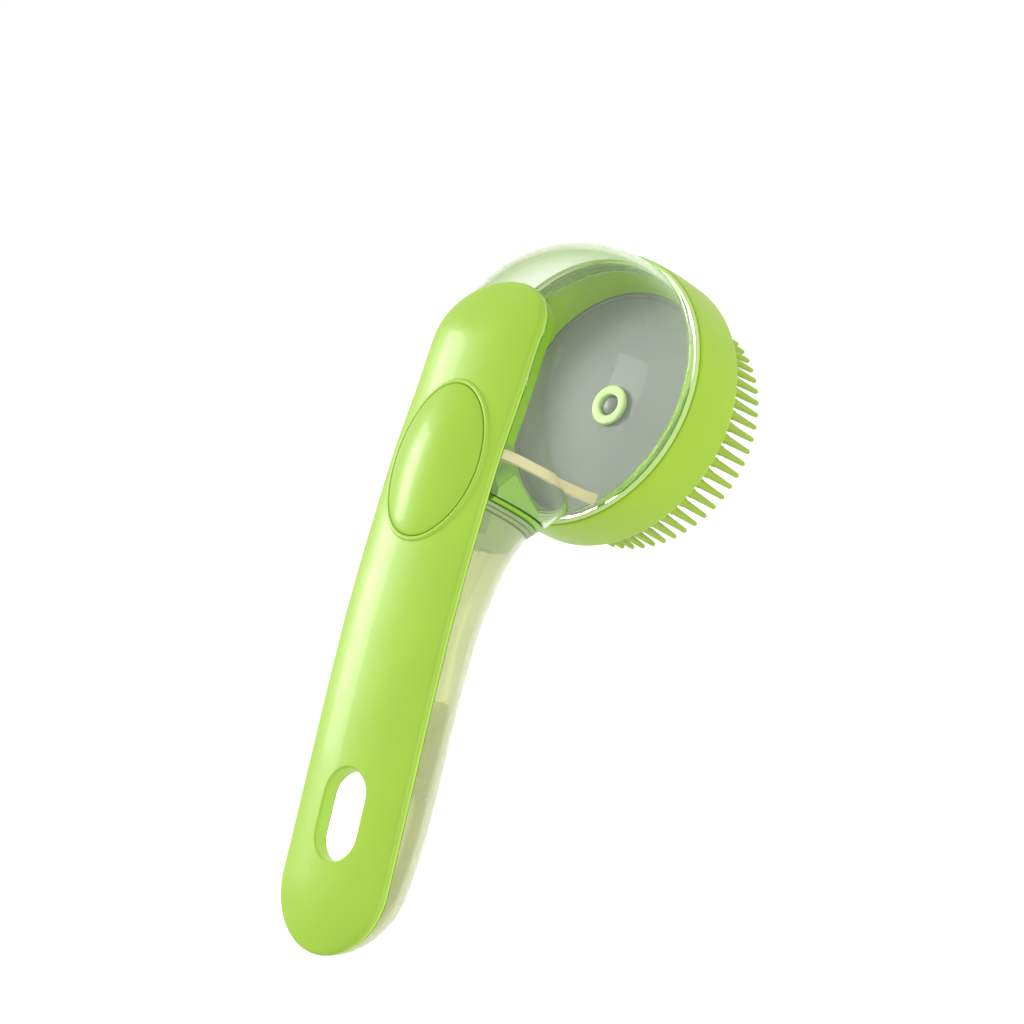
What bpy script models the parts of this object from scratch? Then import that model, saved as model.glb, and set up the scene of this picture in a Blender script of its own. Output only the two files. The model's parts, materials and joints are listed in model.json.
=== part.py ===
"""Dispensing bath brush: a clear domed head with a bristle pad, on a clear hollow handle with a pump.

All dimensions below are in millimetres, with heights measured from the head ring's lower rim.
new_object() turns them into metres and raises them by FRAME_Z, so that the origin is the centre of
the spray disc's flat face. +Z points to the cover side, the bristles point down -Z, and the handle
runs along -X from the head.
"""

import math

import bmesh
import bpy
from mathutils import Vector

MM = 0.001
GAP = 0.3                      # clearance between neighbouring pieces
WALL = 1.6                     # wall of the moulded shells

# Head: everything here turns about the Z axis
RIM_R = 40.0
RIM_Z = 16.2                   # joint between the ring and the clear dome
RING_FOOT_R = 40.4
DOME_R = 38.9
DOME_FOOT_Z = 17.4
DOME_TOP_Z = 53.0
DOME_POWER = 2.25              # superellipse exponent of the dome's profile
SKIRT_R = 37.7                 # spigot of the dome inside the ring
SKIRT_Z = 13.2
SPIGOT_WALL = 1.3
PLATE_TOP_Z = 2.0
PLATE_R = 36.1
LIP_R = 34.6
PAD_TOP_Z = 0.1
PAD_LOW_Z = -1.3
BRISTLE_ROWS = ((33.0, 60), (24.0, 42), (16.5, 26))
BRISTLE_SPLAY = 1.045
BRISTLE_PROFILE = ((-0.5, 1.45), (8.0, 1.4), (8.4, 1.2), (18.4, 0.7))    # depth under the pad, radius
SPRAY_R = 8.8
SPRAY_LOW_Z = -5.5
FRAME_Z = -SPRAY_LOW_Z
GROMMET_R = 5.9
GROMMET_HOLE_R = 3.1

# Handle: stations (x, z) of its long lines
EDGE_LINE = ((-168, 53.2), (-150, 54.1), (-126, 56.0), (-98, 58.3), (-75, 59.7),
             (-37, 59.9), (-17, 57.8), (0, 56.3), (16, 54.4))
UNDERSIDE = ((-168, 52.0), (-161, 43.2), (-151, 36.6), (-138, 33.6), (-120, 33.6), (-100, 35.0),
             (-80, 35.4), (-66, 33.4), (-56, 30.4), (-48, 26.2), (-43, 22.4), (-38, 18.4), (-33, 17.6))
TAIL_X = -148.0                # the handle's round end starts here
TAIL_LENGTH = 18.6
SHELL_HALF = 17.6
COVER_HALF = 18.2
COVER_CROWN = 3.1
COVER_SKIRT = 1.0
NOSE_X = -2.0                  # the round upper end of cover, lid and neck ridge starts here
NOSE_LENGTH = 17.5
NOSE_POWER = 2.2
COVER_WALL = 1.7
LID_THICKNESS = 1.2
SHELL_TOP_DROP = 2.8           # top of the clear walls below the cover's edge line
NECK_OPEN_X = -17.0            # the neck's trough is open on top up to here

# Joint between head and handle
NECK_END_X = -43.6
FLANGE_X = (-45.2, -43.9)
SEAL_X = (-48.0, -45.5)
TUB_FRONT_X = -48.3
PLUG_BACK_X = -53.5
PLUG_TOP_Z = 53.3
NOSE_TIP = (-36.3, 48.8)       # leading corner of the plug, x and z
NOSE_LOWER_SLOPE = 0.55
NOSE_UPPER_SLOPE = 1.2
NOSE_BULGE = 7.5
NOSE_LIMIT_X = -33.3
GASKET_X = (-31.6, -30.1)

# Hanging slot
SLOT_X = -131.6
SLOT_HALF_LENGTH = 11.8
SLOT_HALF_WIDTH = 7.0
SLOT_WALL = 1.4
SLEEVE_WALL = 1.2         # where the tank's slot wall passes up through the lid

# Foam inserts in the tank
FOAM_FRONT_X = -96.0
FOAM_SPLIT_X = -121.8
FOAM_REAR_X = -160.0
FOAM_TOP_Z = 44.0
FOAM_REAR_TOP_Z = 42.0
FOAM_FRONT_SLOPE = 8.0
FOAM_GAP = 0.6

# Button and pump
BUTTON_X = -37.7
BUTTON_SEMI = (20.8, 14.0)
BUTTON_LIFT = 0.1         # the button's rim over the cover's crown
BUTTON_CROWN = 3.3
BUTTON_SKIRT_Z = 58.4
BUTTON_HOLE_GAP = 0.4
BEAD_R = 0.8
BEAD_OFFSET = 1.1
BEAD_LIFT = 0.1
PUMP_X = -43.0
BORE_R = 6.4
CYLINDER_R = 7.5
CYLINDER_LOW_Z = 41.0
DECK_Z = (53.6, 55.0)
FLANGE_THICKNESS = 1.2
SCREW_Y = 9.6
SEAT_R = 5.0
SEAT_LOW_Z = 36.6
BALL_R = 1.5
BALL_Z = 38.65
PISTON_Z = (48.8, 51.8)
STEM_R = 3.0
STEM_TOP_Z = 63.9
TUBE_Z = 45.0
CHANNEL_Z = 34.2               # suction channel through the plug

HEAD_SEGMENTS = 40
SMALL_SEGMENTS = 20


def material(name, colour, roughness, alpha=1.0):
    """A Principled material; clear plastics carry their transparency in alpha."""
    made = bpy.data.materials.get(name)
    if made:
        return made
    made = bpy.data.materials.new(name)
    made.use_nodes = True
    shader = made.node_tree.nodes["Principled BSDF"]
    shader.inputs["Base Color"].default_value = (*colour, 1.0)
    shader.inputs["Roughness"].default_value = roughness
    shader.inputs["Metallic"].default_value = 0.0
    shader.inputs["Alpha"].default_value = alpha
    return made


def green_plastic():
    return material("green_plastic", (0.33, 0.58, 0.06), 0.28)


def green_silicone():
    return material("green_silicone", (0.30, 0.52, 0.06), 0.5)


def clear_plastic():
    return material("clear_plastic", (0.78, 0.86, 0.62), 0.08, 0.35)


def grey_plastic():
    return material("grey_plastic", (0.27, 0.32, 0.28), 0.3)


def cream_rubber():
    return material("cream_rubber", (0.72, 0.66, 0.42), 0.6)


def white_plastic():
    return material("white_plastic", (0.85, 0.86, 0.82), 0.4)


def dark_rubber():
    return material("dark_rubber", (0.12, 0.14, 0.12), 0.7)


def steel():
    made = material("steel", (0.62, 0.63, 0.64), 0.25)
    made.node_tree.nodes["Principled BSDF"].inputs["Metallic"].default_value = 1.0
    return made


# ---------------------------------------------------------------- mesh tools

def new_object(name, points, faces, finish):
    """One closed body from points in millimetres, its faces turned outwards."""
    body = bmesh.new()
    corners = [body.verts.new((x * MM, y * MM, (z + FRAME_Z) * MM)) for x, y, z in points]
    for face in faces:
        body.faces.new([corners[i] for i in face])
    bmesh.ops.recalc_face_normals(body, faces=body.faces)
    mesh = bpy.data.meshes.new(name)
    body.to_mesh(mesh)
    body.free()
    mesh.shade_smooth()
    mesh.set_sharp_from_angle(angle=math.radians(35))
    made = bpy.data.objects.new(name, mesh)
    bpy.context.scene.collection.objects.link(made)
    if finish:
        mesh.materials.append(finish)
    else:
        made.hide_render = True
        made.display_type = 'WIRE'
    return made


def loft(name, rings, finish=None):
    """A solid through closed rings that all have the same number of points."""
    count = len(rings[0])
    faces = [tuple(range(count)), tuple(range((len(rings) - 1) * count, len(rings) * count))]
    for level in range(len(rings) - 1):
        start = level * count
        for i in range(count):
            j = (i + 1) % count
            faces.append((start + i, start + j, start + count + j, start + count + i))
    return new_object(name, [point for ring in rings for point in ring], faces, finish)


def prism(name, outline, low, high, finish=None):
    return loft(name, [[(x, y, z) for x, y in outline] for z in (low, high)], finish)


def turned(name, profile, finish=None, centre=(0.0, 0.0), segments=SMALL_SEGMENTS):
    """A solid of revolution about a vertical axis from a closed (r, z) profile."""
    points = []
    rows = []
    for r, z in profile:
        steps = 1 if r == 0 else segments
        rows.append([len(points) + i for i in range(steps)])
        for i in range(steps):
            turn = 2 * math.pi * i / segments
            points.append((centre[0] + r * math.cos(turn), centre[1] + r * math.sin(turn), z))
    faces = []
    for this, other in zip(rows, rows[1:] + rows[:1]):
        for i in range(segments):
            j = (i + 1) % segments
            face = [this[i % len(this)], this[j % len(this)], other[j % len(other)], other[i % len(other)]]
            face = list(dict.fromkeys(face))
            if len(face) > 2:
                faces.append(face)
    return new_object(name, points, faces, finish)


def closed_loft(name, rings, finish=None):
    """A loft whose last ring joins up with its first."""
    count = len(rings[0])
    faces = []
    for level in range(len(rings)):
        start = level * count
        following = (level + 1) % len(rings) * count
        for i in range(count):
            j = (i + 1) % count
            faces.append((start + i, start + j, following + j, following + i))
    return new_object(name, [point for ring in rings for point in ring], faces, finish)


def tube_along(name, route, radius, finish, sides=8, closed=False):
    """A round bar whose centre line is route, never upright; its sections stay square to the line."""
    rings = []
    last = len(route) - 1
    for i, point in enumerate(route):
        before = route[i - 1] if closed else route[max(i - 1, 0)]
        after = route[(i + 1) % len(route)] if closed else route[min(i + 1, last)]
        ahead = (Vector(after) - Vector(before)).normalized()
        side = Vector((-ahead.y, ahead.x, 0.0)).normalized()
        up = ahead.cross(side)
        ring = []
        for k in range(sides):
            turn = 2 * math.pi * k / sides
            ring.append(Vector(point) + radius * (math.cos(turn) * side + math.sin(turn) * up))
        rings.append(ring)
    return closed_loft(name, rings, finish) if closed else loft(name, rings, finish)


def boolean(target, other, operation):
    change = target.modifiers.new(operation.lower(), 'BOOLEAN')
    change.operation = operation
    change.solver = 'EXACT'
    change.object = other
    return target


def cut(target, *others):
    for other in others:
        boolean(target, other, 'DIFFERENCE')
    return target


def join(target, *others):
    for other in others:
        boolean(target, other, 'UNION')
    return target


# ---------------------------------------------------------------- shape rules

def along(stations, x):
    """A smooth line through (x, z) stations."""
    x = min(max(x, stations[0][0]), stations[-1][0])
    i = max(k for k in range(len(stations) - 1) if stations[k][0] <= x)
    (x0, z0), (x1, z1) = stations[i], stations[i + 1]
    before = stations[max(i - 1, 0)]
    after = stations[min(i + 2, len(stations) - 1)]
    slope0 = (z1 - before[1]) / (x1 - before[0])
    slope1 = (after[1] - z0) / (after[0] - x0)
    span = x1 - x0
    t = (x - x0) / span
    return ((2 * t ** 3 - 3 * t ** 2 + 1) * z0 + (t ** 3 - 2 * t ** 2 + t) * span * slope0
            + (3 * t ** 2 - 2 * t ** 3) * z1 + (t ** 3 - t ** 2) * span * slope1)


def edge_z(x):
    return along(EDGE_LINE, x)


def shell_top(x):
    return edge_z(x) - SHELL_TOP_DROP


def spread(first, last, count, crowd_first=False, crowd_last=False):
    """Stations from first to last, closer together at a rounded end."""
    made = []
    for i in range(count + 1):
        t = i / count
        if crowd_first and crowd_last:
            t = (1 - math.cos(math.pi * t)) / 2
        elif crowd_first:
            t = 1 - math.cos(math.pi * t / 2)
        elif crowd_last:
            t = math.sin(math.pi * t / 2)
        made.append(first + (last - first) * t)
    return made


def half_width(x, full, inset):
    """Half-width of a piece that follows the handle's outline, inset from the outline called full."""
    trim = COVER_HALF - full + inset
    if x > NOSE_X:
        reach = min((x - NOSE_X) / (NOSE_LENGTH - trim), 0.998)
        return (full - inset) * (1 - reach ** NOSE_POWER) ** (1 / NOSE_POWER)
    reach = min(max((TAIL_X - x) / (TAIL_LENGTH - trim), 0.0), 0.995)
    return (full - inset) * math.sqrt(1 - reach ** 2)


def shell_half(x, inset):
    return half_width(x, SHELL_HALF, inset)


def cover_half(x, inset):
    return half_width(x, COVER_HALF, inset)


def section_power(x):
    """The clear section is a half ellipse along the handle and grows boxy into the head."""
    blend = min(max((x + 48.0) / 14.0, 0.0), 1.0)
    return 2.1 + 1.9 * blend


def trough_section(x, inset, raise_top=0.0, level=None, points=14):
    """U-shaped ring of the clear handle at x, shrunk by inset; level is a lower top for what lies in it."""
    half = shell_half(x, inset)
    top = shell_top(x)
    low = along(UNDERSIDE, x) + inset
    power = section_power(x)
    first = 0.0
    if level is not None:
        first = math.asin(min(max((top - level) / (top - low), 0.0), 0.98) ** (power / 2))
    ring = []
    for i in range(points + 1):
        turn = first + (math.pi - 2 * first) * i / points
        side = math.copysign(abs(math.cos(turn)) ** (2 / power), math.cos(turn))
        depth = math.sin(turn) ** (2 / power)
        ring.append((x, -half * side, top - (top - low) * depth))
    if raise_top:
        ring.append((x, half, top + raise_top))
        ring.append((x, -half, top + raise_top))
    return ring


def trough(name, stations, inset, raise_top=0.0, finish=None):
    return loft(name, [trough_section(x, inset, raise_top) for x in stations], finish)


def stadium(half_length, half_wide, steps=8):
    """Outline of the hanging slot: two half circles joined by straight sides."""
    outline = []
    for end in (1, -1):
        for i in range(steps + 1):
            turn = end * math.pi / 2 - math.pi * i / steps
            x = SLOT_X + end * (half_length - half_wide) + half_wide * math.cos(turn)
            outline.append((x, half_wide * math.sin(turn)))
    return outline


def ellipse(centre_x, semi_x, semi_y, steps=28):
    turns = [2 * math.pi * i / steps for i in range(steps)]
    return [(centre_x + semi_x * math.cos(turn), semi_y * math.sin(turn)) for turn in turns]


def slot_cutter(name, grow, low=20.0, high=70.0):
    return prism(name, stadium(SLOT_HALF_LENGTH + grow, SLOT_HALF_WIDTH + grow), low, high)


def screw_hole_cutters(owner):
    """Clearance holes of the two pump screws."""
    return [turned(f"{owner}_screw_hole_{side}", [(0.0, 50.9), (1.1, 50.9), (1.1, 62.0), (0.0, 62.0)],
                   centre=(PUMP_X, side * SCREW_Y), segments=10) for side in (1, -1)]


def dome_profile(inset, levels=9):
    """Upper half of the head from its foot to the crown, as (r, z)."""
    height = DOME_TOP_Z - DOME_FOOT_Z - inset
    radius = DOME_R - inset
    profile = []
    for i in range(levels + 1):
        turn = math.pi / 2 * i / levels
        r = radius * math.cos(turn) ** (2 / DOME_POWER)
        z = DOME_FOOT_Z + height * math.sin(turn) ** (2 / DOME_POWER)
        profile.append((r if i < levels else 0.0, z))
    return profile


# ---------------------------------------------------------------- head

def make_head_dome():
    """Clear dome with its spigot, and the neck that runs on over it as a flat ridge under the lid."""
    spigot = [(0.0, SKIRT_Z), (SKIRT_R, SKIRT_Z), (SKIRT_R, 14.1), (SKIRT_R + 0.35, 14.6), (SKIRT_R, 15.1),
              (SKIRT_R, DOME_FOOT_Z)]
    dome = turned("head_dome", spigot + dome_profile(0.0), clear_plastic(), segments=HEAD_SEGMENTS)
    bore = SKIRT_R - SPIGOT_WALL
    hollow = turned("dome_hollow", [(0.0, SKIRT_Z - 5), (bore, SKIRT_Z - 5), (bore, DOME_FOOT_Z + 0.8)]
                    + dome_profile(WALL)[1:], segments=HEAD_SEGMENTS)
    trim = COVER_HALF - SHELL_HALF
    ridge = spread(NECK_OPEN_X, NOSE_X, 2)
    neck_stations = spread(NECK_END_X, NECK_OPEN_X, 6) + ridge[1:-1] + nose_stations(trim)
    neck = trough("neck_block", neck_stations, 0.0)
    neck_hollow = trough("neck_hollow", spread(NECK_END_X - 4, NECK_OPEN_X, 7), WALL, raise_top=8.0)
    ridge_stations = [NECK_OPEN_X - 2] + ridge[:-1] + nose_stations(trim + WALL, 5)
    ridge_hollow = loft("ridge_hollow", [trough_section(x, WALL, level=shell_top(x) - WALL)
                                         for x in ridge_stations])
    join(dome, neck)
    cut(dome, hollow, neck_hollow, ridge_hollow)


def make_ring_seal():
    turned("ring_seal", [(SKIRT_R + GAP, RIM_Z + GAP), (RIM_R - 0.3, RIM_Z + GAP),
                         (RIM_R - 0.3, DOME_FOOT_Z - GAP), (SKIRT_R + GAP, DOME_FOOT_Z - GAP)],
           cream_rubber(), segments=HEAD_SEGMENTS)


def make_head_ring():
    bore = SKIRT_R + GAP
    seat = PLATE_R + GAP
    lip_z = PLATE_TOP_Z + GAP
    outside = [(bore, RIM_Z), (RIM_R, RIM_Z), (RING_FOOT_R, 1.0), (RING_FOOT_R - 0.5, -0.2),
               (RING_FOOT_R - 2.4, -2.6), (seat, -2.9)]
    inside = [(seat, lip_z), (LIP_R, lip_z), (LIP_R + 0.1, lip_z + 0.6), (bore - 0.8, SKIRT_Z - 0.6),
              (bore, SKIRT_Z - 0.4)]
    snap_groove = [(bore, 13.9), (bore + 0.45, 14.6), (bore, 15.3)]
    turned("head_ring", outside + inside + snap_groove, green_plastic(), segments=HEAD_SEGMENTS)


def make_valve_plate():
    turned("valve_plate", [(4.5, 0.4), (PLATE_R, 0.4), (PLATE_R, PLATE_TOP_Z), (4.5, PLATE_TOP_Z)],
           grey_plastic(), segments=HEAD_SEGMENTS)


def make_valve_grommet():
    turned("valve_grommet", [(GROMMET_HOLE_R, 0.3), (4.2, 0.3), (4.2, PLATE_TOP_Z + GAP),
                             (GROMMET_R, PLATE_TOP_Z + GAP), (GROMMET_R, 2.9), (GROMMET_R - 0.6, 3.5),
                             (GROMMET_HOLE_R + 0.4, 3.6), (GROMMET_HOLE_R, 3.3)],
           green_silicone(), segments=24)


def make_outlet_poppet():
    flange = [(0.0, -1.1), (3.8, -1.1), (3.8, 0.0)]
    pin = [(2.6, 0.0), (2.6, 2.2), (2.1, 3.0), (0.0, 3.5)]
    turned("outlet_poppet", flange + pin, grey_plastic())


def helix(centre_x, radius, low, high, turns, steps=10):
    """Centre line of a coil spring."""
    count = int(turns * steps)
    line = []
    for i in range(count + 1):
        turn = 2 * math.pi * i / steps
        z = low + (high - low) * i / count
        line.append((centre_x + radius * math.cos(turn), radius * math.sin(turn), z))
    return line


def make_poppet_spring():
    tube_along("poppet_spring", helix(0.0, 2.6, -3.75, -1.65, 3), 0.22, steel(), sides=5)


def make_spray_disc():
    floor_z = SPRAY_LOW_Z + 1.3
    outside = [(0.0, SPRAY_LOW_Z), (SPRAY_R - 1.0, SPRAY_LOW_Z), (SPRAY_R, SPRAY_LOW_Z + 1.0),
               (SPRAY_R, PAD_TOP_Z)]
    inside = [(SPRAY_R - WALL, PAD_TOP_Z), (SPRAY_R - WALL, floor_z), (0.0, floor_z)]
    cup = turned("spray_disc", outside + inside, green_plastic(), segments=24)
    for ring_radius, count in ((3.2, 5), (5.8, 9)):
        for i in range(count):
            turn = 2 * math.pi * (i + 0.5) / count
            hole = turned(f"spray_hole_{count}_{i}", [(0.0, -8.0), (0.5, -8.0), (0.5, -2.0), (0.0, -2.0)],
                          centre=(ring_radius * math.cos(turn), ring_radius * math.sin(turn)), segments=6)
            cut(cup, hole)


def make_bristle_pad():
    pad = turned("bristle_pad", [(SPRAY_R + GAP, PAD_LOW_Z), (PLATE_R, PAD_LOW_Z),
                                 (PLATE_R, PAD_TOP_Z), (SPRAY_R + GAP, PAD_TOP_Z)],
                 green_silicone(), segments=HEAD_SEGMENTS)
    points = []
    faces = []
    sides = 6
    length = BRISTLE_PROFILE[-1][0]
    for row, (radius, count) in enumerate(BRISTLE_ROWS):
        for i in range(count):
            turn = 2 * math.pi * (i + 0.5 * (row % 2)) / count
            base = len(points)
            for depth, thickness in BRISTLE_PROFILE:
                reach = radius * (1 + (BRISTLE_SPLAY - 1) * max(depth, 0.0) / length)
                for k in range(sides):
                    about = turn + 2 * math.pi * (k + 0.5) / sides
                    points.append((reach * math.cos(turn) + thickness * math.cos(about),
                                   reach * math.sin(turn) + thickness * math.sin(about), PAD_LOW_Z - depth))
            faces.append([base + k for k in reversed(range(sides))])
            faces.append([base + (len(BRISTLE_PROFILE) - 1) * sides + k for k in range(sides)])
            for level in range(len(BRISTLE_PROFILE) - 1):
                start = base + level * sides
                for k in range(sides):
                    m = (k + 1) % sides
                    faces.append([start + k, start + m, start + sides + m, start + sides + k])
    join(pad, new_object("bristle_pegs", points, faces, None))


def make_pad_retainer():
    top = PAD_LOW_Z - GAP
    turned("pad_retainer", [(34.9, top), (35.2, -2.7), (PLATE_R, -2.7), (PLATE_R, top)],
           green_plastic(), segments=HEAD_SEGMENTS)


# ---------------------------------------------------------------- neck joint

def make_neck_plug():
    body = trough("neck_plug", spread(PLUG_BACK_X, NOSE_LIMIT_X + 2, 8), WALL + GAP, finish=green_plastic())
    flange = trough("plug_flange", FLANGE_X, 0.0)
    join(body, flange)
    side = SHELL_HALF - WALL
    above = [(-70, -side), (-20, -side), (-20, side), (-70, side)]
    cut(body, prism("plug_deck_space", above, PLUG_TOP_Z, 80.0))

    levels = []
    half = SHELL_HALF + 1
    steps = 8
    for z in (10.0, 24.0, 38.0, NOSE_TIP[1], 60.0):
        tip_x, tip_z = NOSE_TIP
        ring = []
        for i in range(steps + 1):
            y = -half + 2 * half * i / steps
            bulge = NOSE_BULGE * (1 - min(abs(y) / (SHELL_HALF - WALL), 1.0) ** 3)
            setback = NOSE_LOWER_SLOPE * max(tip_z - z, 0.0) + NOSE_UPPER_SLOPE * max(z - tip_z, 0.0)
            front = min(tip_x - setback + bulge, NOSE_LIMIT_X)
            ring.append((front, y, z))
        ring.append((NOSE_LIMIT_X + 5, half, z))
        ring.append((NOSE_LIMIT_X + 5, -half, z))
        levels.append(ring)
    nose = loft("plug_nose_space", levels)

    well = turned("plug_well", [(0.0, CHANNEL_Z), (1.3, CHANNEL_Z), (1.3, SEAT_LOW_Z - GAP),
                                (SEAT_R + GAP, SEAT_LOW_Z - GAP), (SEAT_R + GAP, CYLINDER_LOW_Z - GAP),
                                (CYLINDER_R + GAP, CYLINDER_LOW_Z - GAP), (CYLINDER_R + GAP, 70.0),
                                (0.0, 70.0)], centre=(PUMP_X, 0.0))
    inlet_line = [(PUMP_X + 2.4, 0, CHANNEL_Z), (PLUG_BACK_X - 3, 0, CHANNEL_Z)]
    channel = tube_along("plug_channel", inlet_line, 1.8, None, sides=10)
    outlet_line = [(PUMP_X + 5, 0, TUBE_Z), (PUMP_X + 18, 0, TUBE_Z)]
    outlet = tube_along("plug_outlet", outlet_line, 2.1, None, sides=10)
    cut(body, nose, well, channel, outlet, *screw_hole_cutters("plug"))


def make_neck_seal():
    seal = trough("neck_seal", SEAL_X, 0.0, finish=dark_rubber())
    opening = trough("seal_opening", (SEAL_X[0] - 2, SEAL_X[1] + 2), WALL, raise_top=8.0)
    cut(seal, opening)


def make_neck_gasket():
    """Cream rib that frames the mouth of the neck inside the dome, its feet spread on the ring side."""
    high, inner_high = 52.6, 51.0
    foot = DOME_FOOT_Z + 2.4
    right = [(18.4, foot), (16.6, 21.5), (15.3, 25.5), (14.7, 31.0), (14.5, 40.0), (14.0, 49.0), (11.5, high)]
    inside = [(9.6, inner_high), (12.4, 48.0), (13.0, 40.0), (13.2, 31.0), (13.8, 25.0), (15.0, 21.0),
              (16.0, foot)]
    half = len(right)
    order = right + inside
    points = []
    for x in GASKET_X:
        points += [(x, y, z) for y, z in order] + [(x, -y, z) for y, z in order]
    count = len(order)
    faces = []
    for layer in (0, 1):
        start = layer * 2 * count
        for mirror in (0, 1):
            base = start + mirror * count
            for i in range(half - 1):
                a, b = base + i, base + i + 1
                c, d = base + count - 1 - i - 1, base + count - 1 - i
                faces.append((a, b, c, d))
        faces.append((start + half - 1, start + half, start + count + half, start + count + half - 1))
    loop = [i for i in range(half)] + [count + i for i in reversed(range(half))]
    loop += [count + count - 1 - i for i in range(half)] + [half + i for i in range(half)]
    for i, a in enumerate(loop):
        b = loop[(i + 1) % len(loop)]
        faces.append((a, b, b + 2 * count, a + 2 * count))
    new_object("neck_gasket", points, faces, cream_rubber())


# ---------------------------------------------------------------- handle

def tail_stations(trim, count=7):
    """Stations of the round tail, crowded towards its end."""
    return spread(TAIL_X - TAIL_LENGTH + trim + 0.1, TAIL_X, count, crowd_first=True)


def nose_stations(trim, count=6):
    """Stations of the round upper end, crowded towards its end."""
    return spread(NOSE_X, NOSE_X + NOSE_LENGTH - trim - 0.05, count, crowd_last=True)


def make_handle_shell():
    trim = COVER_HALF - SHELL_HALF
    shell = trough("handle_shell", tail_stations(trim) + spread(TAIL_X, TUB_FRONT_X, 9)[1:], 0.0,
                   finish=clear_plastic())
    inner_stations = tail_stations(trim + WALL) + spread(TAIL_X, TUB_FRONT_X + 4, 9)[1:]
    hollow = trough("handle_hollow", inner_stations, WALL, raise_top=8.0)
    cut(hollow, slot_cutter("slot_post", SLOT_WALL))
    cut(shell, hollow)

    under_cover = []
    for x in spread(-147, -116, 5):
        top = edge_z(x) - COVER_SKIRT - GAP
        under_cover.append([(x, 12.0, 45.0), (x, -12.0, 45.0), (x, -12.0, top), (x, 12.0, top)])
    sleeve = boolean(slot_cutter("slot_sleeve", SLEEVE_WALL), loft("sleeve_height", under_cover), 'INTERSECT')
    join(shell, sleeve)
    cut(shell, slot_cutter("slot_hole", 0.0))


def cover_top(x, side, inset=0.0):
    """Height of the cover's crowned face; side runs from -1 to 1 across it."""
    fullness = cover_half(x, 0.0) / COVER_HALF
    return edge_z(x) + COVER_CROWN * fullness ** 2 * (1 - abs(side) ** 2.4) - inset


def cover_section(x, inset, low, points=8):
    half = cover_half(x, inset)
    ring = [(x, half, low), (x, -half, low)]
    for i in range(points + 1):
        side = -math.cos(math.pi * i / points)
        ring.append((x, half * side, cover_top(x, side, inset)))
    return ring


def make_spine_cover():
    straight = spread(TAIL_X, NOSE_X, 11)[1:-1]
    stations = tail_stations(0.0) + straight + nose_stations(0.0)
    cover = loft("spine_cover", [cover_section(x, 0.0, edge_z(x) - COVER_SKIRT) for x in stations],
                 green_plastic())
    stations = tail_stations(COVER_WALL) + straight + nose_stations(COVER_WALL)
    hollow = loft("cover_hollow", [cover_section(x, COVER_WALL, edge_z(x) - 4) for x in stations])
    stations = spread(-147, -116, 5)
    crown = loft("collar_crown", [cover_section(x, 0.7, edge_z(x) - COVER_SKIRT) for x in stations])
    collar = boolean(slot_cutter("slot_collar", SLOT_WALL), crown, 'INTERSECT')

    outline = ellipse(BUTTON_X, BUTTON_SEMI[0] + BEAD_OFFSET, BUTTON_SEMI[1] + BEAD_OFFSET, 28)
    bead_route = [(x, y, cover_top(x, y / COVER_HALF) + BEAD_LIFT) for x, y in outline]
    bead = tube_along("button_bead", bead_route, BEAD_R, None, sides=5, closed=True)
    button_hole = prism("button_hole", ellipse(BUTTON_X, BUTTON_SEMI[0] + BUTTON_HOLE_GAP,
                                               BUTTON_SEMI[1] + BUTTON_HOLE_GAP), 50.0, 70.0)
    cut(cover, hollow)
    join(cover, collar, bead)
    cut(cover, slot_cutter("cover_slot", 0.0), button_hole)


def make_tank_lid():
    rings = []
    for x in tail_stations(GAP) + spread(TAIL_X, NOSE_X, 9)[1:-1] + nose_stations(GAP):
        side = cover_half(x, GAP)
        top = edge_z(x) - COVER_SKIRT - GAP
        low = top - LID_THICKNESS
        rings.append([(x, -side, low), (x, side, low), (x, side, top), (x, -side, top)])
    lid = loft("tank_lid", rings, green_plastic())
    opening = prism("lid_opening", ellipse(BUTTON_X, BUTTON_SEMI[0] + 0.6, BUTTON_SEMI[1] + 0.6), 40.0, 70.0)
    cut(lid, opening, slot_cutter("lid_slot", SLOT_WALL + GAP))


def foam_block(name, first, last, top, front_drop):
    """A foam insert bedded on the tank's floor; front_drop slopes its front end."""
    rings = []
    for x in spread(first, last, 6):
        closing = max((x - (last - FOAM_FRONT_SLOPE)) / FOAM_FRONT_SLOPE, 0.0) if front_drop else 0.0
        rings.append(trough_section(x, WALL + FOAM_GAP, level=top - front_drop * closing ** 2))
    block = loft(name, rings, cream_rubber())
    cut(block, slot_cutter(name + "_slot", SLOT_WALL + FOAM_GAP))


def make_filter_foams():
    foam_block("filter_foam_front", FOAM_SPLIT_X + GAP, FOAM_FRONT_X, FOAM_TOP_Z, 4.5)
    foam_block("filter_foam_rear", FOAM_REAR_X, FOAM_SPLIT_X, FOAM_REAR_TOP_Z, 0.0)


# ---------------------------------------------------------------- button and pump

def button_solid(name, inset, foot_z, scales, finish=None):
    """The button's domed oval over the cover's crown, shrunk by inset; scales run from the edge inwards."""
    semi_x, semi_y = BUTTON_SEMI[0] - inset, BUTTON_SEMI[1] - inset
    rings = [[(x, y, foot_z) for x, y in ellipse(BUTTON_X, semi_x, semi_y)]]
    for scale in scales:
        rise = BUTTON_LIFT - inset + BUTTON_CROWN * (1 - scale ** 2)
        outline = ellipse(BUTTON_X, semi_x * scale, semi_y * scale)
        rings.append([(x, y, cover_top(x, y / COVER_HALF) + rise) for x, y in outline])
    return loft(name, rings, finish)


def make_thumb_button():
    button = button_solid("thumb_button", 0.0, BUTTON_SKIRT_Z, (1.0, 0.97, 0.86, 0.62, 0.3), green_plastic())
    cut(button, button_solid("button_hollow", WALL, BUTTON_SKIRT_Z - 2, (1.0, 0.8, 0.4)))


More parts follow.
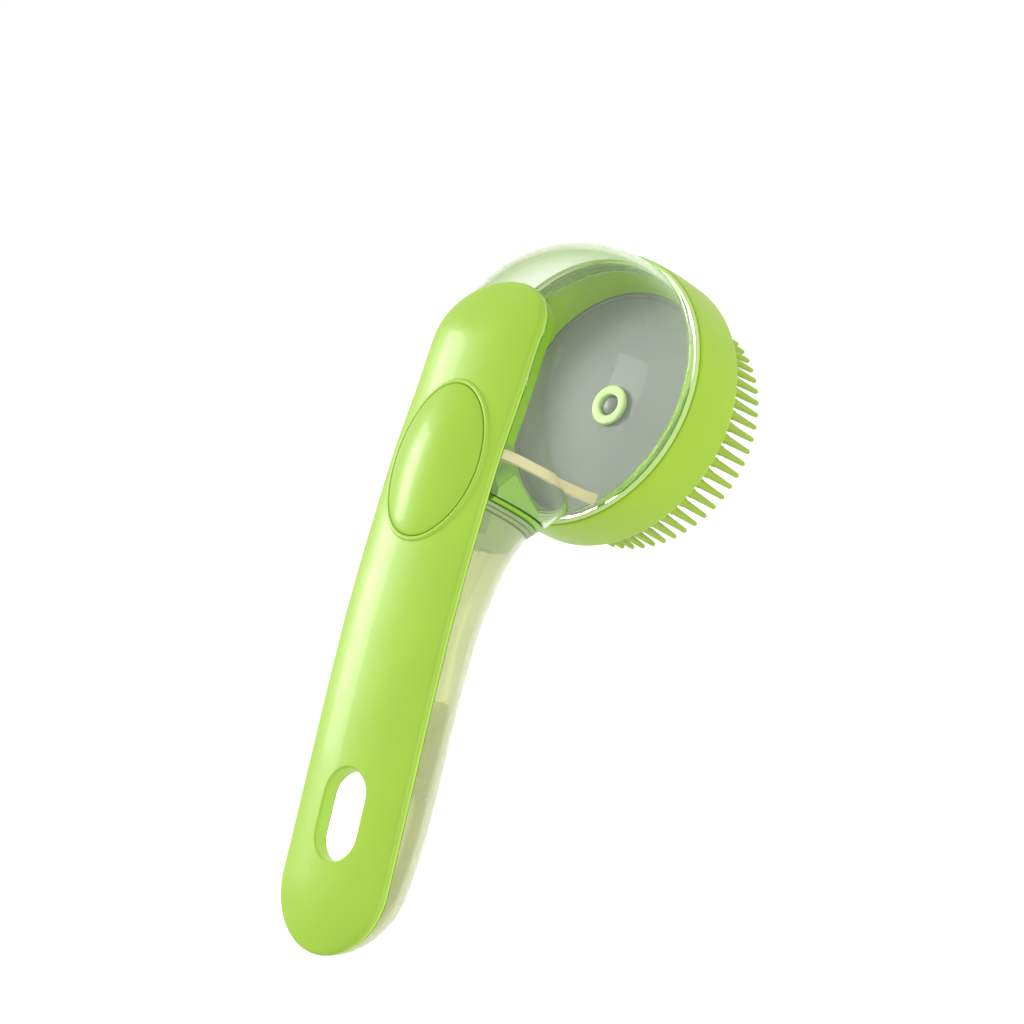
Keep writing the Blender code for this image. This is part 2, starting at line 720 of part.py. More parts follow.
def make_pump_deck():
    outline = [(-60.5, -10), (-58.5, -13), (-22.5, -13), (-19.5, -9), (-19.5, 9), (-22.5, 13), (-58.5, 13),
               (-60.5, 10)]
    deck = prism("pump_deck", outline, *DECK_Z, green_plastic())
    hole = turned("deck_hole", [(0.0, 50.0), (CYLINDER_R + GAP, 50.0), (CYLINDER_R + GAP, 60.0), (0.0, 60.0)],
                  centre=(PUMP_X, 0.0))
    cut(deck, hole)
    cut(deck, *screw_hole_cutters("deck"))


def make_pump_cylinder():
    top = DECK_Z[1] + GAP
    floor_z = CYLINDER_LOW_Z + 1.4
    outside = [(1.0, CYLINDER_LOW_Z), (CYLINDER_R, CYLINDER_LOW_Z), (CYLINDER_R, top), (11.4, top),
               (11.4, top + FLANGE_THICKNESS)]
    inside = [(BORE_R, top + FLANGE_THICKNESS), (BORE_R, floor_z), (1.0, floor_z)]
    cylinder = turned("pump_cylinder", outside + inside, white_plastic(), centre=(PUMP_X, 0.0), segments=24)
    port = tube_along("cylinder_port", [(PUMP_X, 0, TUBE_Z), (PUMP_X + 12, 0, TUBE_Z)], 1.0, None, sides=8)
    cut(cylinder, port)
    cut(cylinder, *screw_hole_cutters("flange"))


def make_pump_screws():
    seat_z = DECK_Z[1] + GAP + FLANGE_THICKNESS + GAP
    for name, side in (("pump_screw_left", 1), ("pump_screw_right", -1)):
        turned(name, [(0.0, 51.5), (0.8, 51.5), (0.8, seat_z), (1.6, seat_z), (1.6, seat_z + 0.15),
                      (1.2, seat_z + 0.4), (0.0, seat_z + 0.5)],
               steel(), centre=(PUMP_X, side * SCREW_Y), segments=10)


def make_pump_piston():
    low, high = PISTON_Z
    spool = [(0.0, low), (6.1, low), (6.1, low + 0.8), (5.0, low + 0.8), (5.0, high - 0.8), (6.1, high - 0.8),
             (6.1, high)]
    stem = [(STEM_R, high), (STEM_R, STEM_TOP_Z), (0.0, STEM_TOP_Z)]
    turned("pump_piston", spool + stem, white_plastic(), centre=(PUMP_X, 0.0))


def make_piston_seal():
    low, high = PISTON_Z
    turned("piston_seal", [(5.2, low + 1.1), (5.9, low + 1.0), (6.3, low + 1.5), (5.9, high - 1.0),
                           (5.2, high - 1.1)], dark_rubber(), centre=(PUMP_X, 0.0))


def make_return_spring():
    tube_along("return_spring", helix(PUMP_X, 5.0, 43.1, 48.1, 3), 0.35, steel(), sides=5)


def make_inlet_valve():
    top = CYLINDER_LOW_Z - GAP
    turned("inlet_valve_seat", [(1.0, SEAT_LOW_Z), (SEAT_R, SEAT_LOW_Z), (SEAT_R, top), (2.0, top),
                                (2.0, SEAT_LOW_Z + 1.6), (1.0, SEAT_LOW_Z + 0.8)],
           white_plastic(), centre=(PUMP_X, 0.0))
    levels = 6
    profile = []
    for i in range(levels + 1):
        turn = -math.pi / 2 + math.pi * i / levels
        r = 0.0 if i in (0, levels) else BALL_R * math.cos(turn)
        profile.append((r, BALL_Z + BALL_R * math.sin(turn)))
    turned("inlet_ball", profile, steel(), centre=(PUMP_X, 0.0), segments=12)


def make_dip_tube():
    start = PUMP_X - 3.5
    route = [(start, 0.0, CHANNEL_Z)]
    for x in spread(PLUG_BACK_X - 0.5, -95.0, 11):
        climb = (PLUG_BACK_X - x) / (95.0 + PLUG_BACK_X)
        route.append((x, 0.0, CHANNEL_Z + 6.0 * math.sin(math.pi / 2 * climb)))
    tube_along("dip_tube", route, 1.5, cream_rubber(), sides=8)


def make_outlet_tube():
    start = PUMP_X + CYLINDER_R + GAP
    sides = 10
    turns = [2 * math.pi * k / sides for k in range(sides)]
    rings = []
    for x, radius in ((start, 1.7), (start + 10, 1.7), (start + 10, 1.0), (start, 1.0)):
        rings.append([(x, radius * math.cos(turn), TUBE_Z + radius * math.sin(turn)) for turn in turns])
    closed_loft("outlet_tube", rings, white_plastic())


def main():
    for thing in list(bpy.context.scene.objects):
        bpy.data.objects.remove(thing)
    make_head_dome()
    make_ring_seal()
    make_head_ring()
    make_valve_plate()
    make_valve_grommet()
    make_outlet_poppet()
    make_poppet_spring()
    make_spray_disc()
    make_bristle_pad()
    make_pad_retainer()
    make_neck_plug()
    make_neck_seal()
    make_neck_gasket()
    make_handle_shell()
    make_spine_cover()
    make_tank_lid()
    make_filter_foams()
    make_thumb_button()
    make_pump_deck()
    make_pump_cylinder()
    make_pump_screws()
    make_pump_piston()
    make_piston_seal()
    make_return_spring()
    make_inlet_valve()
    make_dip_tube()
    make_outlet_tube()


main()
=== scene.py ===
"""Looks of the dispensing bath brush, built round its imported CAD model.

Lengths are millimetres, with heights measured from the head ring's lower rim, as in the CAD source;
to_row() turns a point into metres in the row frame. The handle runs along -X from the head, +Z is the
cover side and the bristles point down -Z.
"""

import json
import math

import bmesh
import bpy
from mathutils import Matrix, Vector


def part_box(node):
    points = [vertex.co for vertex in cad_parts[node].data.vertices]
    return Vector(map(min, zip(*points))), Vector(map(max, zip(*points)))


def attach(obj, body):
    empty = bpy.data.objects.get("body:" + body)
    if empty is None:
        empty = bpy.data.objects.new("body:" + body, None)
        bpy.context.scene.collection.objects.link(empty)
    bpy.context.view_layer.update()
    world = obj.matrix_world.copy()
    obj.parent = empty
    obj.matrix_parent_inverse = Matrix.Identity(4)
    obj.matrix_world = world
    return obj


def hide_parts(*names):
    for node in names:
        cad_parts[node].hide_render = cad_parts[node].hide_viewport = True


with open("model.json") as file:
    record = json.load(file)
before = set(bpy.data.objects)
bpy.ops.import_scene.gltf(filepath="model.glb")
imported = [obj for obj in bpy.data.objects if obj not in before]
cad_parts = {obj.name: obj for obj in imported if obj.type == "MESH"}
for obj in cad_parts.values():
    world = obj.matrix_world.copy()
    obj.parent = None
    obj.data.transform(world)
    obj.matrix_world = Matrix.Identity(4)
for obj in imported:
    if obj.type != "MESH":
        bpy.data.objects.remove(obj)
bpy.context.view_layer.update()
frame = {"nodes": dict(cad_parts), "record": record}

MM = 0.001

# ---------------------------------------------------------------- sizes read from the frame


def span(node, axis):
    """Lowest and highest value of a CAD node along an axis, in millimetres of the row frame."""
    low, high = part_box(node)
    return low[axis] / MM, high[axis] / MM


FRAME_Z = -span("spray_disc", 2)[0] + 5.5       # the ring's lower rim stands this far above the origin
RIM_Z = span("head_ring", 2)[1] - FRAME_Z
RIM_R = 40.0
FOOT_R = span("head_ring", 0)[1]
PLATE_LOW_Z = span("valve_plate", 2)[0] - FRAME_Z
PLATE_TOP_Z = span("valve_plate", 2)[1] - FRAME_Z
PLATE_R = span("valve_plate", 0)[1]
BRISTLE_TIP_Z = span("bristle_pad", 2)[0] - FRAME_Z
PAD_TOP_Z = span("bristle_pad", 2)[1] - FRAME_Z
PAD_LOW_Z = PAD_TOP_Z - 1.4
COVER_HALF = span("spine_cover", 1)[1]
SHELL_HALF = span("handle_shell", 1)[1]
SPRAY_R = span("spray_disc", 0)[1]
SPRAY_LOW_Z = span("spray_disc", 2)[0] - FRAME_Z
GAP = 0.3                                        # air between neighbouring pieces
WALL = 1.6                                       # wall of the clear mouldings

# Dome, its spigot in the ring and the snap bead that holds them together
DOME_TOP_Z = 53.0
DOME_FOOT_Z = 17.4
DOME_R = 38.9
DOME_POWER = 2.25
SKIRT_R = 37.7
SKIRT_Z = span("head_dome", 2)[0] - FRAME_Z
SPIGOT_WALL = 1.3
SNAP_Z = 14.6
RING_LIP_R = 34.6
PLATE_HOLE_R = 4.5
SPRAY_FLOOR = 1.3
SPRAY_HOLE_R = 0.5
SPRAY_HOLES = ((3.2, 5), (5.8, 9))               # (radius of the circle, holes on it)

# Long lines of the handle as (x, z): the cover's edge and the clear tub's underside
EDGE_LINE = ((-168, 53.2), (-150, 54.1), (-126, 56.0), (-98, 58.3), (-75, 59.7),
             (-37, 59.9), (-17, 58.7), (0, 57.8), (16, 54.0))
UNDERSIDE = ((-168, 52.0), (-161, 43.2), (-151, 36.6), (-138, 33.6), (-120, 33.6), (-100, 35.0),
             (-80, 35.4), (-66, 33.4), (-56, 30.4), (-48, 26.2), (-43, 22.4), (-38, 18.4), (-33, 17.6))
TAIL_X = -148.0
TAIL_LENGTH = 18.6
NOSE_X = -2.0
NOSE_LENGTH = 17.5
NOSE_POWER = 2.2
COVER_CROWN = 3.1
COVER_SKIRT = 1.0
COVER_WALL = 1.7
LID_THICKNESS = 1.2
SHELL_TOP_DROP = 2.8

# Joint between head and handle
NECK_OPEN_X = -17.0
NECK_END_X = -43.6
RIDGE_BAND = 3.0                                 # depth of the painted green refraction on the ridge's flanks
FLANGE_X = (-45.2, -43.9)
SEAL_X = (-48.0, -45.5)
TUB_FRONT_X = -48.3
PLUG_BACK_X = -53.5
PLUG_TOP_Z = 53.3
NOSE_TIP = (-36.3, 48.8)
NOSE_LOWER_SLOPE = 0.55
NOSE_UPPER_SLOPE = 1.2
NOSE_BULGE = 7.5
NOSE_LIMIT_X = -33.3
GASKET_X = (-33.0, -29.9)
INLET_Z = 34.2                                   # channel through the plug from the dip tube
OUTLET_Z = 45.0                                  # hole through the plug for the outlet tube
PUMP_WELL_R = 7.8

# Hanging slot
SLOT_X = -131.6
SLOT_HALF_LENGTH = 11.8
SLOT_HALF_WIDTH = 7.0
SLOT_WALL = 1.4
SLEEVE_WALL = 1.2                                # thinner than SLOT_WALL, so no two faces lie in one plane

# Foam inserts
FOAM_FRONT_X = -96.0
FOAM_SPLIT_X = -121.8
FOAM_REAR_X = -160.0
FOAM_TOP_Z = 44.0
FOAM_REAR_TOP_Z = 42.0
FOAM_FRONT_SLOPE = 8.0
FOAM_GAP = 0.6
FOAM_SOFTNESS = 0.9

# Thumb button and the bead round it
BUTTON_X = -37.7
BUTTON_SEMI = (20.8, 14.0)
BUTTON_LIFT = 0.6
BUTTON_CROWN = 2.8
BUTTON_GROW = 0.3
BUTTON_SKIRT_Z = 58.8
BUTTON_HOLE_GAP = 0.4
BEAD_R = 0.8
BEAD_OFFSET = 1.1
BEAD_LIFT = -0.3

# Bristles: rows as (radius, count), and one bristle as (depth below the pad, radius) down to its round tip
BRISTLE_ROWS = ((33.0, 60), (24.0, 42), (16.5, 26))
BRISTLE_STAGES = ((-0.5, 1.75), (0.15, 1.6), (0.7, 1.46), (7.9, 1.4), (8.2, 1.34), (8.4, 1.2))
BRISTLE_TIP_R = 0.7
BRISTLE_TIP_ROUND = 0.8
BRISTLE_SPLAY = 1.045

ROUND_STEPS = 160                                # sides of the head's turned pieces
FINE_STEPS = 200                                 # sides of the ring and hoop
BELOW_Z = 20.0                                   # heights clear of the handle, for through cutters
ABOVE_Z = 70.0


def to_row(point):
    x, y, z = point
    return Vector((x * MM, y * MM, (z + FRAME_Z) * MM))


# ---------------------------------------------------------------- shape rules

def along(stations, x):
    """A smooth line through (x, z) stations."""
    x = min(max(x, stations[0][0]), stations[-1][0])
    i = max(k for k in range(len(stations) - 1) if stations[k][0] <= x)
    (x0, z0), (x1, z1) = stations[i], stations[i + 1]
    before = stations[max(i - 1, 0)]
    after = stations[min(i + 2, len(stations) - 1)]
    slope0 = (z1 - before[1]) / (x1 - before[0])
    slope1 = (after[1] - z0) / (after[0] - x0)
    reach = x1 - x0
    t = (x - x0) / reach
    return ((2 * t ** 3 - 3 * t ** 2 + 1) * z0 + (t ** 3 - 2 * t ** 2 + t) * reach * slope0
            + (3 * t ** 2 - 2 * t ** 3) * z1 + (t ** 3 - t ** 2) * reach * slope1)


def edge_z(x):
    return along(EDGE_LINE, x)


def shell_top(x):
    return edge_z(x) - SHELL_TOP_DROP


def half_width(x, full, inset):
    """Half-width of a piece that follows the handle's outline, inset from the outline called full."""
    trim = COVER_HALF - full + inset
    if x > NOSE_X:
        reach = min((x - NOSE_X) / (NOSE_LENGTH - trim), 0.9995)
        return (full - inset) * (1 - reach ** NOSE_POWER) ** (1 / NOSE_POWER)
    reach = min(max((TAIL_X - x) / (TAIL_LENGTH - trim), 0.0), 0.9995)
    return (full - inset) * math.sqrt(1 - reach ** 2)


def section_power(x):
    """The clear section is a half ellipse along the handle and grows boxy into the head."""
    growth = min(max((x + 48.0) / 14.0, 0.0), 1.0)
    return 2.1 + 1.9 * growth


def trough_section(x, inset, raise_top=0.0, level=None, band=0.0, points=44):
    """U-shaped ring of the clear handle at x, shrunk by inset; level is a lower top for what lies in it, and
    band adds a point on each flank at that depth."""
    half = half_width(x, SHELL_HALF, inset)
    top = shell_top(x)
    low = along(UNDERSIDE, x) + inset
    power = section_power(x)
    first = 0.0
    if level is not None:
        first = math.asin(min(max((top - level) / (top - low), 0.0), 0.98) ** (power / 2))
    ring = []
    for i in range(points + 1):
        turn = first + (math.pi - 2 * first) * i / points
        side = math.copysign(abs(math.cos(turn)) ** (2 / power), math.cos(turn))
        depth = math.sin(turn) ** (2 / power)
        ring.append((x, -half * side, top - (top - low) * depth))
    if band:
        flank = half * (1 - (band / (top - low)) ** power) ** (1 / power)
        ring.insert(1, (x, -flank, top - band))
        ring.insert(-1, (x, flank, top - band))
    if raise_top:
        ring.append((x, half, top + raise_top))
        ring.append((x, -half, top + raise_top))
    return ring


def plan_outline(full, inset, end_steps=22, side_steps=46):
    """Points round the handle's plan, the same count and order for every inset."""
    trim = COVER_HALF - full + inset
    half = full - inset
    right = []
    for i in range(end_steps + 1):
        turn = math.pi / 2 * i / end_steps
        right.append((TAIL_X - (TAIL_LENGTH - trim) * math.cos(turn), half * math.sin(turn)))
    for i in range(1, side_steps):
        right.append((TAIL_X + (NOSE_X - TAIL_X) * i / side_steps, half))
    for i in range(end_steps + 1):
        turn = math.pi / 2 * (1 - i / end_steps)
        x = NOSE_X + (NOSE_LENGTH - trim) * max(math.cos(turn), 0.0) ** (2 / NOSE_POWER)
        right.append((x, half * max(math.sin(turn), 0.0) ** (2 / NOSE_POWER)))
    return right + [(x, -y) for x, y in reversed(right[1:-1])]


def cover_height(x, inset):
    """Height of the cover's crowned face at x, inset from the cover's outline."""
    return edge_z(x) + COVER_CROWN * (1 - (1 - inset / COVER_HALF) ** 2.4)


def on_cover(outline, rise):
    """A plan outline laid on the cover's crowned face and raised by rise."""
    return [(x, y, cover_height(x, COVER_HALF - abs(y)) + rise) for x, y in outline]


def stadium(half_length, half_wide, steps=28):
    """Outline of the hanging slot: two half circles joined by straight sides."""
    outline = []
    for end in (1, -1):
        for i in range(steps + 1):
            turn = end * math.pi / 2 - math.pi * i / steps
            x = SLOT_X + end * (half_length - half_wide) + half_wide * math.cos(turn)
            outline.append((x, half_wide * math.sin(turn)))
    return outline


def grown_slot(by):
    """The hanging slot's outline, grown outwards by a margin."""
    return stadium(SLOT_HALF_LENGTH + by, SLOT_HALF_WIDTH + by)


def ellipse(centre_x, semi_x, semi_y, steps=112):
    turns = [2 * math.pi * i / steps for i in range(steps)]
    return [(centre_x + semi_x * math.cos(turn), semi_y * math.sin(turn)) for turn in turns]


def grown_button(by):
    """The button's oval outline, grown outwards by a margin."""
    return ellipse(BUTTON_X, BUTTON_SEMI[0] + by, BUTTON_SEMI[1] + by)


def spread(first, last, count, crowd_first=False, crowd_last=False):
    """Stations from first to last, closer together at a rounded end."""
    made = []
    for i in range(count + 1):
        t = i / count
        if crowd_first:
            t = 1 - math.cos(math.pi * t / 2)
        elif crowd_last:
            t = math.sin(math.pi * t / 2)
        made.append(first + (last - first) * t)
    return made


def tail_stations(trim, count=22):
    return spread(TAIL_X - TAIL_LENGTH + trim + 0.01, TAIL_X, count, crowd_first=True)


def nose_stations(trim, count=20):
    return spread(NOSE_X, NOSE_X + NOSE_LENGTH - trim - 0.02, count, crowd_last=True)


def arc(centre_r, centre_z, radius, first, last, steps=6):
    """Points of a fillet in a (r, z) profile, its turns in degrees."""
    turns = [math.radians(first + (last - first) * i / steps) for i in range(steps + 1)]
    return [(centre_r + radius * math.cos(turn), centre_z + radius * math.sin(turn)) for turn in turns]


# ---------------------------------------------------------------- mesh tools

def new_piece(name, points, faces, finish=None, crease=35):
    """One closed mesh from points in millimetres, faces turned outwards, smooth up to the crease angle."""
    body = bmesh.new()
    corners = [body.verts.new(to_row(point)) for point in points]
    for face in faces:
        body.faces.new([corners[i] for i in face])
    bmesh.ops.recalc_face_normals(body, faces=body.faces)
    mesh = bpy.data.meshes.new(name)
    body.to_mesh(mesh)
    body.free()
    mesh.shade_smooth()
    mesh.set_sharp_from_angle(angle=math.radians(crease))
    made = bpy.data.objects.new(name, mesh)
    bpy.context.scene.collection.objects.link(made)
    if finish:
        mesh.materials.append(finish)
    return made


def loft(name, rings, finish=None, closed=False, crease=35):
    """A solid through closed rings of equal length; closed joins the last ring to the first."""
    count = len(rings[0])
    faces = []
    if not closed:
        faces += [tuple(range(count)), tuple(range((len(rings) - 1) * count, len(rings) * count))]
    for level in range(len(rings) - (0 if closed else 1)):
        start = level * count
        following = (level + 1) % len(rings) * count
        for i in range(count):
            j = (i + 1) % count
            faces.append((start + i, start + j, following + j, following + i))
    return new_piece(name, [point for ring in rings for point in ring], faces, finish, crease)


def prism(name, outline, low, high):
    return loft(name, [[(x, y, z) for x, y in outline] for z in (low, high)])


def turned(name, profile, finish=None, centre=(0.0, 0.0), steps=ROUND_STEPS, crease=35):
    """A solid of revolution about a vertical axis from a closed (r, z) profile."""
    points = []
    rows = []
    for r, z in profile:
        count = 1 if r == 0 else steps
        rows.append([len(points) + i for i in range(count)])
        for i in range(count):
            turn = 2 * math.pi * i / steps
            points.append((centre[0] + r * math.cos(turn), centre[1] + r * math.sin(turn), z))
    faces = []
    for this, other in zip(rows, rows[1:] + rows[:1]):
        for i in range(steps):
            j = (i + 1) % steps
            face = [this[i % len(this)], this[j % len(this)], other[j % len(other)], other[i % len(other)]]
            face = list(dict.fromkeys(face))
            if len(face) > 2:
                faces.append(face)
    return new_piece(name, points, faces, finish, crease)


def tube_along(name, route, radius, finish=None, sides=12, closed=False):
    """A round bar whose centre line is route; its sections stay square to the line."""
    rings = []
    last = len(route) - 1
    for i, point in enumerate(route):
        before = route[i - 1] if closed else route[max(i - 1, 0)]
        after = route[(i + 1) % len(route)] if closed else route[min(i + 1, last)]
        ahead = (Vector(after) - Vector(before)).normalized()
        side = Vector((-ahead.y, ahead.x, 0.0)).normalized()
        up = ahead.cross(side)
        ring = []
        for k in range(sides):
            turn = 2 * math.pi * k / sides
            ring.append(Vector(point) + radius * (math.cos(turn) * side + math.sin(turn) * up))
        rings.append(ring)
    return loft(name, rings, finish, closed)


def shape(target, operation, *others):
    """Runs Booleans on target one after another, keeps the result as its mesh and drops the cutters."""
    for other in others:
        change = target.modifiers.new(operation.lower(), 'BOOLEAN')
        change.operation = operation
        change.solver = 'EXACT'
        change.material_mode = 'TRANSFER' if other.data.materials else 'INDEX'
        change.object = other
    graph = bpy.context.evaluated_depsgraph_get()
    made = bpy.data.meshes.new_from_object(target.evaluated_get(graph))
    target.modifiers.clear()
    target.data = made
    made.set_sharp_from_angle(angle=math.radians(35))
    for other in others:
        bpy.data.objects.remove(other)
    return target


def cut(target, *others):
    return shape(target, 'DIFFERENCE', *others)


def join(target, *others):
    return shape(target, 'UNION', *others)


def plan_solid(name, profile, full, finish=None, crease=35):
    """A plate on the handle's plan: profile gives (inset, height rule) from the top's middle round to the
    bottom's middle, and both middles close with strips of quads across the plate."""
    rings = []
    for inset, height in profile:
        rings.append([(x, y, height(x)) for x, y in plan_outline(full, inset)])
    count = len(rings[0])
    points = [point for ring in rings for point in ring]
    faces = []
    for level in range(len(rings) - 1):
        start = level * count
        for i in range(count):
            j = (i + 1) % count
            faces.append((start + i, start + j, start + count + j, start + count + i))
    for start in (0, (len(rings) - 1) * count):
        for i in range(count // 2):
            face = [start + i, start + i + 1, start + count - i - 1, start + (count - i) % count]
            face = list(dict.fromkeys(face))
            if len(face) > 2:
                faces.append(face)
    return new_piece(name, points, faces, finish, crease)


# ---------------------------------------------------------------- materials

TINT_FROM = 0.27                                 # how far a face turns away before its edge tint starts
TINT_FULL = 0.86


def node_material(name):
    """A fresh material and its shader node."""
    made = bpy.data.materials.new(name)
    made.use_nodes = True
    return made, made.node_tree, made.node_tree.nodes["Principled BSDF"]


def add_noise(tree, scale, detail=2.0):
    place = tree.nodes.new("ShaderNodeTexCoord")
    noise = tree.nodes.new("ShaderNodeTexNoise")
    noise.inputs["Scale"].default_value = scale
    noise.inputs["Detail"].default_value = detail
    tree.links.new(place.outputs["Object"], noise.inputs["Vector"])
    return noise


def vary_colour(tree, shader, colour, spread_by, scale):
    """Drives the base colour between a slightly darker and a slightly lighter tone."""
    noise = add_noise(tree, scale)
    ramp = tree.nodes.new("ShaderNodeValToRGB")
    ramp.color_ramp.elements[0].position = 0.3
    ramp.color_ramp.elements[1].position = 0.7
    ramp.color_ramp.elements[0].color = (*[c * (1 - spread_by) for c in colour], 1)
    ramp.color_ramp.elements[1].color = (*[min(c * (1 + spread_by), 1.0) for c in colour], 1)
    tree.links.new(noise.outputs["Fac"], ramp.inputs["Fac"])
    tree.links.new(ramp.outputs["Color"], shader.inputs["Base Color"])


def vary_roughness(tree, shader, low, high, scale):
    noise = add_noise(tree, scale)
    limits = tree.nodes.new("ShaderNodeMapRange")
    limits.inputs["To Min"].default_value = low
    limits.inputs["To Max"].default_value = high
    tree.links.new(noise.outputs["Fac"], limits.inputs["Value"])
    tree.links.new(limits.outputs["Result"], shader.inputs["Roughness"])


def add_bump(tree, shader, scale, height, detail=2.0):
    noise = add_noise(tree, scale, detail)
    bump = tree.nodes.new("ShaderNodeBump")
    bump.inputs["Strength"].default_value = 1.0
    bump.inputs["Distance"].default_value = height * MM
    tree.links.new(noise.outputs["Fac"], bump.inputs["Height"])
    tree.links.new(bump.outputs["Normal"], shader.inputs["Normal"])


def moulded(name, colour, roughness, coat=0.0, texture=0.004, scale=900, glow=0.0, painted_glow=0.0):
    """Opaque moulded plastic or rubber: faint colour drift, uneven gloss and a fine surface texture;
    painted_glow adds a painted glow, an emission in the base colour.
    """
    made, tree, shader = node_material(name)
    vary_colour(tree, shader, colour, 0.035, 40)
    vary_roughness(tree, shader, roughness * 0.85, roughness * 1.15, 220)
    add_bump(tree, shader, scale, texture)
    shader.inputs["Coat Weight"].default_value = coat
    shader.inputs["Coat Roughness"].default_value = 0.06
    if glow:
        shader.inputs["Subsurface Weight"].default_value = glow
        shader.inputs["Subsurface Radius"].default_value = (0.6, 1.0, 0.25)
        shader.inputs["Subsurface Scale"].default_value = 0.003
    # painted glow: emission that brightens the surface as if lit, though it is no lamp
    if painted_glow:
        shader.inputs["Emission Color"].default_value = (*colour, 1)
        shader.inputs["Emission Strength"].default_value = painted_glow
    return made


def clear_moulding(name, tint, edge_tint, roughness, haze=0.0, ior=1.4):
    """Clear plastic that bends what is seen through it, takes an edge tint and lets lamp light pass."""
    made, tree, shader = node_material(name)
    weight = tree.nodes.new("ShaderNodeLayerWeight")
    weight.inputs["Blend"].default_value = 0.5
    ramp = tree.nodes.new("ShaderNodeValToRGB")
    ramp.color_ramp.elements[0].position = TINT_FROM
    ramp.color_ramp.elements[1].position = TINT_FULL
    ramp.color_ramp.elements[0].color = (*tint, 1)
    ramp.color_ramp.elements[1].color = (*edge_tint, 1)
    tree.links.new(weight.outputs["Facing"], ramp.inputs["Fac"])
    tree.links.new(ramp.outputs["Color"], shader.inputs["Base Color"])
    vary_roughness(tree, shader, roughness * 0.7, roughness * 1.3, 120)
    shader.inputs["Transmission Weight"].default_value = 1.0 - haze
    shader.inputs["IOR"].default_value = ior
    passing = tree.nodes.new("ShaderNodeBsdfTransparent")
    passing.inputs["Color"].default_value = (*[math.sqrt(c) for c in tint], 1)
    ray = tree.nodes.new("ShaderNodeLightPath")
    mix = tree.nodes.new("ShaderNodeMixShader")
    tree.links.new(ray.outputs["Is Shadow Ray"], mix.inputs["Fac"])
    tree.links.new(shader.outputs["BSDF"], mix.inputs[1])
    tree.links.new(passing.outputs["BSDF"], mix.inputs[2])
    tree.links.new(mix.outputs["Shader"], tree.nodes["Material Output"].inputs["Surface"])
    return made


def foam_material(name, colour):
    """Open foam: pitted, matt and uneven."""
    made, tree, shader = node_material(name)
    vary_colour(tree, shader, colour, 0.08, 500)
    shader.inputs["Roughness"].default_value = 0.9
    add_bump(tree, shader, 1500, 0.25, detail=4.0)
    return made


def brushed_metal(name, colour):
    made, tree, shader = node_material(name)
    vary_colour(tree, shader, colour, 0.05, 300)
    vary_roughness(tree, shader, 0.18, 0.32, 1500)
    shader.inputs["Metallic"].default_value = 1.0
    return made


FINISHES = {
    "green_plastic": moulded("cover_green", (0.37, 0.61, 0.045), 0.36, coat=0.12),
    "ring_green": moulded("ring_green", (0.37, 0.60, 0.018), 0.42, texture=0.006),
    "green_silicone": moulded("silicone_green", (0.33, 0.50, 0.02), 0.5, glow=0.15, texture=0.01),
    "clear_plastic": clear_moulding("clear_moulding", (0.95, 0.97, 0.91), (0.46, 0.68, 0.22), 0.02, haze=0.03,
                                    ior=1.29),
    # painted refraction: a green haze on the ridge's flanks in place of the ring's green seen through the
    # dome
    "ridge_painted_refraction": clear_moulding("ridge_refraction_paint", (0.26, 0.50, 0.02), (0.26, 0.50, 0.02), 0.1, haze=0.75),
    "tub_plastic": clear_moulding("tub_moulding", (0.76, 0.80, 0.52), (0.66, 0.70, 0.46), 0.06, haze=0.22),
    "clear_tube": clear_moulding("clear_tube", (0.95, 0.96, 0.88), (0.85, 0.88, 0.70), 0.08, ior=1.1),
    # painted glow: a near-white colour and an emission make the slot's inner wall bright under any lamp
    "slot_wall": moulded("slot_wall_painted_glow", (0.95, 0.96, 0.92), 0.5, painted_glow=0.3),
    "grey_plastic": moulded("plate_grey", (0.20, 0.225, 0.225), 0.34, coat=0.05),
    "cream_rubber": moulded("cream_rubber", (0.86, 0.73, 0.46), 0.55),
    "foam": foam_material("cream_foam", (0.88, 0.78, 0.52)),
    "white_plastic": moulded("pump_white", (0.82, 0.83, 0.80), 0.35),
    "joint_green": moulded("joint_green", (0.52, 0.74, 0.22), 0.45),
    "dark_rubber": moulded("seal_dark", (0.30, 0.40, 0.17), 0.6),
    "pale_silicone": moulded("grommet_pale", (0.60, 0.84, 0.34), 0.4, glow=0.2),
    "deep_green": moulded("plug_green", (0.24, 0.50, 0.02), 0.4),
    # painted glow on the lid: emission brightens its edge, which lies in shade under the cover
    "lid_green": moulded("lid_green", (0.40, 0.66, 0.06), 0.4, painted_glow=0.16),
    "steel": brushed_metal("spring_steel", (0.66, 0.67, 0.68)),
}


def settle(piece, node, body):
    """Stands a finished piece in for its CAD node, riding on that node's body."""
    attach(piece, body)
    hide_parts(node)
    return piece


# ---------------------------------------------------------------- head

def dome_profile(inset, levels=36):
    height = DOME_TOP_Z - DOME_FOOT_Z - inset
    radius = DOME_R - inset
    profile = []
    for i in range(levels + 1):
        turn = math.pi / 2 * i / levels
        r = radius * max(math.cos(turn), 0.0) ** (2 / DOME_POWER)
        profile.append((r if i < levels else 0.0, DOME_FOOT_Z + height * math.sin(turn) ** (2 / DOME_POWER)))
    return profile


